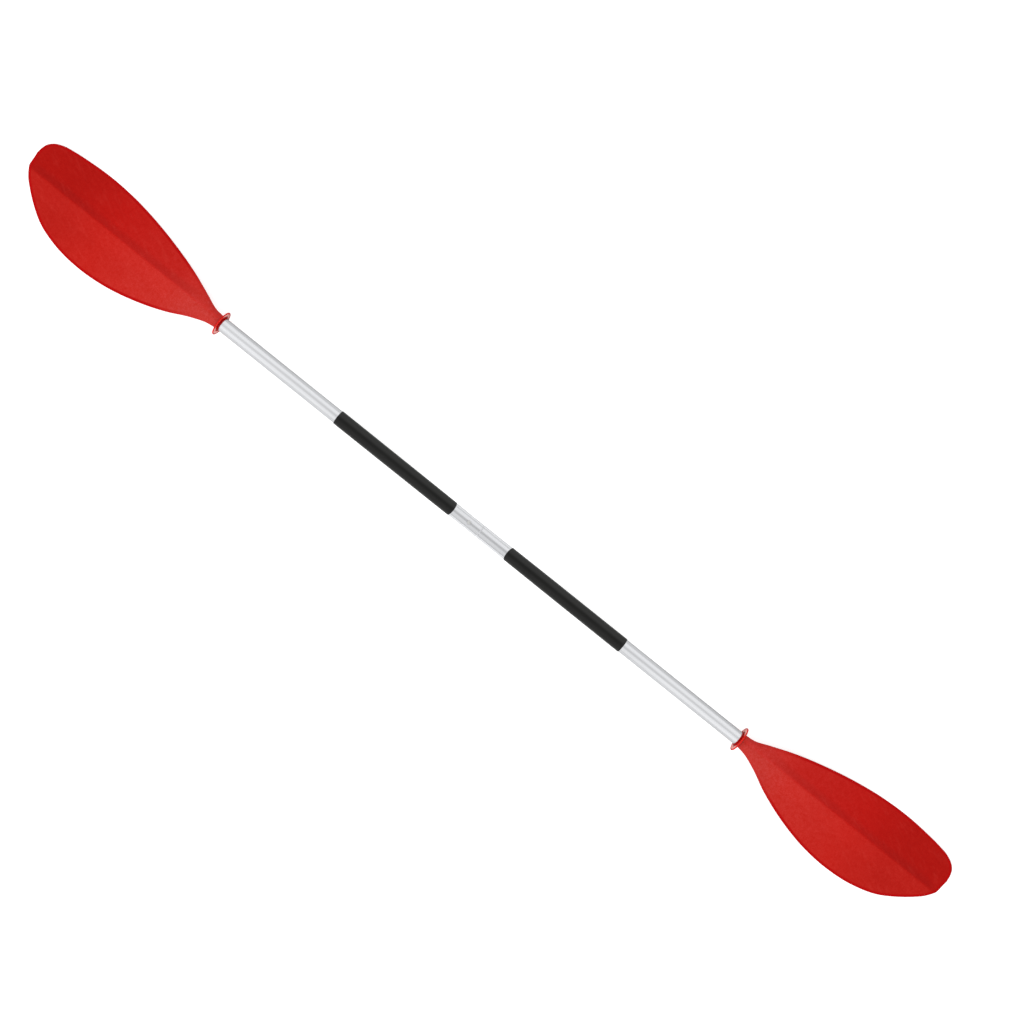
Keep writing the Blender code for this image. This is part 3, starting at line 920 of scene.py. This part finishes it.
def make_rivet(node, inner_bore):
    """Blind rivet: flush head with the broken mandrel's dimple, set bulb inside."""
    seat = math.sqrt(inner_bore**2 - RIVET_BULB_RADIUS**2) - TOUCH_GAP
    dimple = RIVET_DIMPLE_RADIUS
    profile = [
        (-RIVET_HEAD_FACE + RIVET_DIMPLE_DEPTH, 0.0),
        (-RIVET_HEAD_FACE + RIVET_DIMPLE_DEPTH, dimple * 0.8),
        (-RIVET_HEAD_FACE + RIVET_EDGE, dimple),
        (-RIVET_HEAD_FACE, dimple + RIVET_EDGE),
        (-RIVET_HEAD_FACE, RIVET_HEAD_RADIUS - 2 * RIVET_EDGE),
        (-RIVET_HEAD_FACE + RIVET_EDGE, RIVET_HEAD_RADIUS),
        (-RIVET_HEAD_BASE, RIVET_RADIUS),
        (-seat, RIVET_RADIUS),
    ]
    bulb = RIVET_BULB_LENGTH / 2
    centre = (RIVET_BULB_RADIUS - bulb, -seat + bulb)
    profile += [(h, r) for r, h in arc(centre, bulb, -90, 90, 10)]
    profile.append((-seat + RIVET_BULB_LENGTH, 0.0))
    return new_object(f"{node}_detailed", stud(profile, box_middle(node).x))


def make_grip(prefix, side):
    """Thin sleeve, a little thicker towards the blade, with rounded lips."""
    inner, outer = near_and_far(f"{prefix}_grip")

    def profile_at(angle):
        start = inner + GRIP_SCALLOP * (0.5 - abs(math.cos(angle)))
        points = arc((start + GRIP_LIP, GRIP_BORE), GRIP_LIP, 180, 90, 6)
        steps = 24
        for step in range(1, steps):
            share = step / steps
            x = start + GRIP_LIP + (outer - start - 2 * GRIP_LIP) * share
            points.append((x, GRIP_RADIUS_IN + (GRIP_RADIUS_OUT - GRIP_RADIUS_IN) * share))
        points += arc((outer - GRIP_LIP, GRIP_RADIUS_OUT - GRIP_LIP), GRIP_LIP, 90, 0, 6)
        points.append((outer, GRIP_BORE))
        return [(side * x, r) for x, r in points]

    return new_object(f"{prefix}_grip_detailed", revolve(profile_at), 50)


def make_drip_ring(prefix, side):
    """Disc with a round bead at its rim and fillets into its hub."""
    low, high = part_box(f"{prefix}_drip_ring")
    plane = box_middle(f"{prefix}_drip_ring").x
    hub = (high.x - low.x) / 2
    bead = RING_THICKNESS / 2
    web = RING_WEB / 2
    neck = RING_HUB_RADIUS
    profile = [
        (-hub, RING_BORE),
        (-hub, neck - RING_CORNER),
        (-hub + RING_CORNER, neck),
    ]
    profile += arc((-web - RING_FILLET, neck + RING_FILLET), RING_FILLET, -90, 0, 6)
    profile += arc((0.0, RING_RADIUS - bead), bead, 180 + RING_BEAD_DEG, -RING_BEAD_DEG, 26)
    profile += arc((web + RING_FILLET, neck + RING_FILLET), RING_FILLET, 180, 270, 6)
    profile += [
        (hub - RING_CORNER, neck),
        (hub, neck - RING_CORNER),
        (hub, RING_BORE),
    ]
    points = [(plane + side * x, r) for x, r in profile]
    return new_object(f"{prefix}_drip_ring_detailed", revolve(lambda angle: points), 50)


# ---------------------------------------------------------------- blade


def smooth_curve(points, per_span):
    """A smooth curve through unevenly spaced plan points."""
    points = np.array(points)
    spans = np.linalg.norm(np.diff(points, axis=0), axis=1)
    slopes = np.diff(points, axis=0) / spans[:, None]
    tangents = [slopes[0]]
    for index in range(1, len(slopes)):
        before, after = spans[index - 1], spans[index]
        tangents.append((slopes[index - 1] * after + slopes[index] * before) / (before + after))
    tangents.append(slopes[-1])
    curve = []
    for index, span in enumerate(spans):
        start, end = points[index], points[index + 1]
        first = start + tangents[index] * span / 3
        second = end - tangents[index + 1] * span / 3
        for t in np.arange(per_span) / per_span:
            curve.append(
                start * (1 - t) ** 3
                + first * 3 * t * (1 - t) ** 2
                + second * 3 * t * t * (1 - t)
                + end * t**3
            )
    curve.append(points[-1])
    return np.array(curve)


def smoothstep(value):
    value = np.clip(value, 0.0, 1.0)
    return value * value * (3 - 2 * value)


def ridge_shape(distance, half_width):
    """A ridge's height from 1 at its crest to 0, with nearly straight flanks and a fillet."""
    share = np.minimum(1.0, distance / np.maximum(half_width, MERGE_DISTANCE))
    return (1 - share) ** 2 * (1 + share)


def distance_to(outline, points):
    """Distance in plan from each point to a finely stepped outline."""
    nearest = np.full(len(points), np.inf)
    for part in np.array_split(outline, OUTLINE_PARTS):
        gaps = np.linalg.norm(points[:, None, :] - part[None, :, :], axis=2)
        nearest = np.minimum(nearest, gaps.min(axis=1))
    return nearest


def ridge_height(u, from_crest, soft_distance, half_width):
    """The spine on the front: steep towards the long edge, high and broad only at the neck."""
    neck = 1 - smoothstep(u / RIDGE_NECK_SHARE)
    fade = 1 - smoothstep((u - RIDGE_FADE_SHARE) / (1 - RIDGE_FADE_SHARE))
    side = np.where(from_crest > 0, RIDGE_LONG_SIDE, RIDGE_SHORT_SIDE)
    reach = np.minimum(side + RIDGE_NECK_WIDENING * neck, RIDGE_WIDEST_SHARE * half_width)
    return (RIDGE_HEIGHT + RIDGE_NECK_RISE * neck) * fade * ridge_shape(soft_distance, reach)


def blade_heights(x, y, across, half_width, edge_distance):
    """Front and back heights of the blade from the shaft's axis, meeting on its outline."""
    u = (x - SHOULDER_X) / (HALF_LENGTH - SHOULDER_X)
    from_crest = y - CREST_OFFSET
    soft_distance = np.hypot(from_crest, CREST_ROUNDING) - CREST_ROUNDING
    slope = np.where(from_crest > 0, LONG_SIDE_SLOPE, SHORT_SIDE_SLOPE)
    middle = -SPOON_DEPTH * u * u * (1 - u) / SPOON_PEAK - slope * soft_distance
    thinning = np.maximum(across**4, u**8)
    half_thickness = (BLADE_THICKNESS - (BLADE_THICKNESS - EDGE_THICKNESS) * thinning) / 2
    inward = np.minimum(edge_distance / EDGE_ROUNDING, 1.0)
    half_thickness = half_thickness * np.sqrt(1 - (1 - inward) ** 2)
    rib_reach = np.minimum(BACK_RIB_HALF_WIDTH, BACK_RIB_WIDEST_SHARE * half_width)
    ridge = ridge_height(u, from_crest, soft_distance, half_width)
    rib = BACK_RIB_HEIGHT * (1 - u) * ridge_shape(soft_distance, rib_reach)
    front = np.maximum(middle + half_thickness + ridge, -AXIS_Z)
    back = np.maximum(middle - half_thickness - rib, -AXIS_Z)
    return front, back


def blade_rows():
    """Closed rows of points round the blade from its shoulder to its tip, and their rim values."""
    short_edge = smooth_curve(SHORT_EDGE, OUTLINE_STEPS)
    long_edge = smooth_curve(LONG_EDGE, OUTLINE_STEPS)
    outline = np.vstack((short_edge, long_edge[::-1]))
    steps = np.arange(BLADE_ROWS) / (BLADE_ROWS - 1)
    stations = SHOULDER_X + (HALF_LENGTH - SHOULDER_X) * np.sin(steps * math.pi / 2)
    places = np.arange(BLADE_COLUMNS, -BLADE_COLUMNS - 1, -1) / BLADE_COLUMNS
    shares = (1 - np.cos(math.pi * np.abs(places))) / 2
    rows = []
    rims = []
    for x in stations:
        low = np.interp(x, short_edge[:, 0], short_edge[:, 1])
        high = np.interp(x, long_edge[:, 0], long_edge[:, 1])
        half_width = (high - low) / 2
        crest = max(CREST_OFFSET, low + 2 * TIP_MARGIN * half_width)
        edges = np.where(places > 0, high, low)
        flat_y = crest + shares * (edges - crest)
        angles = places * math.pi / 2
        round_y = np.abs(edges) * np.sin(angles)
        round_z = NECK_RADIUS * np.cos(angles)
        share = smoothstep((x - SHOULDER_X) / (HALF_LENGTH - SHOULDER_X) / NECK_BLEND)
        y = round_y + (flat_y - round_y) * share
        edge_distance = distance_to(outline, np.column_stack((np.full_like(y, x), y)))
        edge_distance[[0, -1]] = 0.0
        top, bottom = blade_heights(x, y, shares, half_width, edge_distance)
        front = round_z + (top - round_z) * share
        back = -round_z + (bottom + round_z) * share
        rim = 1 - smoothstep((edge_distance - RIM_START) / (RIM_END - RIM_START))
        front_points = [(x, a, b) for a, b in zip(y, front)]
        back_points = [(x, a, b) for a, b in zip(y, back)]
        rows.append(front_points + back_points[-2:0:-1])
        rims.append(list(rim) + list(rim)[-2:0:-1])
    return rows, rims


def spigot_rows():
    """Rows from the end of the core, out of the open spigot and back along its outside."""
    corner = SPIGOT_CORNER
    stations = (
        (CORE_END, CORE_END_POINT),
        (CORE_END, CORE_END_FLAT),
        (CORE_END - CORE_CONE, CORE_RADIUS),
        (SPIGOT_START, CORE_RADIUS),
        (SPIGOT_START, SPIGOT_RADIUS - corner),
        (SPIGOT_START + corner, SPIGOT_RADIUS),
        (SHOULDER_X, SPIGOT_RADIUS),
    )
    count = 4 * BLADE_COLUMNS
    rows = []
    for x, radius in stations:
        angles = [math.pi / 2 - math.tau * step / count for step in range(count)]
        rows.append([(x, radius * math.sin(a), radius * math.cos(a)) for a in angles])
    return rows


def make_blade(prefix, side, outside, rims):
    inside = spigot_rows()
    rows = [[(side * x, y, AXIS_Z + z) for x, y, z in row] for row in inside + outside]
    bm = bmesh.new()
    rim_layer = bm.verts.layers.float.new("rim")
    grid = skin(bm, rows, wrap_rows=False, wrap_columns=True)
    for row, values in zip(grid[len(inside):], rims):
        for point, value in zip(row, values):
            point[rim_layer] = value
    merge_points(bm)
    bmesh.ops.holes_fill(bm, edges=[edge for edge in bm.edges if edge.is_boundary])
    blade = new_object(f"{prefix}_blade_detailed", bm)
    places = [box_middle(f"{prefix}_blade_rivet_{end}").x for end in ("inner", "outer")]
    cut_holes(blade, [rivet_hole(x) for x in places])
    return blade


# ---------------------------------------------------------------- assembly and stage


def set_material(piece, node, materials):
    piece.data.materials.clear()
    piece.data.materials.append(materials[SLOT_OF[node]])


def dress(piece, node, materials):
    """The piece takes its CAD node's place, slot and the slot's material."""
    set_material(piece, node, materials)
    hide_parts(node)


def stand_for(piece, node, materials):
    """A rigid piece rides on its CAD node's body."""
    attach(piece, BODY_OF[node])
    dress(piece, node, materials)


def bend_with_button(spring, materials):
    """The spring keeps its place, with its transform baked into its mesh, and takes its CAD node's
    slot and material.
    """
    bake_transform(spring)
    dress(spring, "button_spring", materials)


def make_materials():
    return {
        "blade": blade_material(),
        "tube": tube_material(),
        "grip": grip_material(),
        "drip_ring": ring_material(),
        "steel": steel_material(),
        "foam": foam_material(),
        "seal": seal_material(),
    }


def make_pieces():
    materials = make_materials()
    outside, rims = blade_rows()
    for prefix, side in SIDES.items():
        stand_for(make_tube(prefix, side), f"{prefix}_shaft_tube", materials)
        blade = make_blade(prefix, side, outside, rims)
        stand_for(blade, f"{prefix}_blade", materials)
        stand_for(make_grip(prefix, side), f"{prefix}_grip", materials)
        stand_for(make_drip_ring(prefix, side), f"{prefix}_drip_ring", materials)
        for node in rivet_places(prefix):
            bore = FERRULE_BORE if "ferrule" in node else CORE_RADIUS
            stand_for(make_rivet(node, bore), node, materials)
        plug = f"{prefix}_float_plug"
        set_material(frame["nodes"][plug], plug, materials)
    stand_for(make_ferrule(), "ferrule", materials)
    stand_for(make_seal_ring(), "joint_seal_ring", materials)
    stand_for(make_snap_button(), "snap_button", materials)
    bend_with_button(make_button_spring(), materials)


def make_floor():
    bm = bmesh.new()
    bmesh.ops.create_grid(bm, x_segments=8, y_segments=8, size=FLOOR_HALF_SIZE)
    floor = new_object("studio_floor", bm)
    floor.location.z = -FLOOR_DROP
    floor.data.materials.append(floor_material())


def round_shaft(stops):
    """Ramp stops for grey levels at angles round the shaft, in degrees from straight up."""
    return [(0.5 + degrees / 360, grey(level)) for degrees, level in stops]


def make_room():
    """A pale room: brightest halfway up on both sides, dimmer overhead and beside the grips."""
    world = bpy.data.worlds.new("pale_room")
    bpy.context.scene.world = world
    world.use_nodes = True
    tree = world.node_tree
    direction = add_node(tree, "ShaderNodeTexCoord").outputs["Generated"]
    axes = axes_of(tree, direction)
    around = maths(tree, "ARCTAN2", axes["Y"], axes["Z"])
    turn = maths(tree, "ADD", maths(tree, "DIVIDE", around, math.tau), 0.5)
    level = ramp(tree, turn, *round_shaft(ROOM_LEVELS), interpolation="EASE")
    shade = ramp(tree, turn, *round_shaft(ROOM_SHADES), interpolation="EASE")
    lengthwise = from_middle(tree, direction)
    middle = share_between(tree, lengthwise, *ROOM_SHADE_REACH, 1.0, 0.0)
    ends = share_between(tree, lengthwise, *ROOM_END_REACH, 1.0, ROOM_END_LEVEL)
    lit = maths(tree, "SUBTRACT", level, maths(tree, "MULTIPLY", middle, shade))
    strength = maths(tree, "MULTIPLY", lit, ends)
    feed(tree, tree.nodes["Background"], {"Color": grey(1.0), "Strength": strength})


def make_lamp(name, place, size, power):
    """A soft lamp aimed at the paddle's middle that gives no mirror image of itself."""
    light = bpy.data.lights.new(name, "AREA")
    light.shape = "RECTANGLE"
    light.size, light.size_y = size
    light.energy = power
    lamp = bpy.data.objects.new(name, light)
    bpy.context.scene.collection.objects.link(lamp)
    lamp.location = place
    lamp.rotation_euler = (-Vector(place)).to_track_quat("-Z", "Y").to_euler()
    lamp.visible_camera = False
    lamp.visible_glossy = False


def make_camera():
    camera_data = bpy.data.cameras.new("overhead_camera")
    camera_data.sensor_width = SENSOR_WIDTH
    camera_data.lens = SENSOR_WIDTH * CAMERA_HEIGHT / VIEW_WIDTH
    camera = bpy.data.objects.new("overhead_camera", camera_data)
    bpy.context.scene.collection.objects.link(camera)
    camera.location = (*CAMERA_OFFSET, AXIS_Z + CAMERA_HEIGHT)
    camera.rotation_euler = (0.0, 0.0, CAMERA_TURN)
    bpy.context.scene.camera = camera


make_pieces()
make_floor()
make_room()
make_lamp("key_softbox", KEY_PLACE, KEY_SIZE, KEY_POWER)
make_lamp("low_fill_softbox", FILL_PLACE, FILL_SIZE, FILL_POWER)
make_camera()
bpy.context.scene.view_settings.view_transform = "Standard"
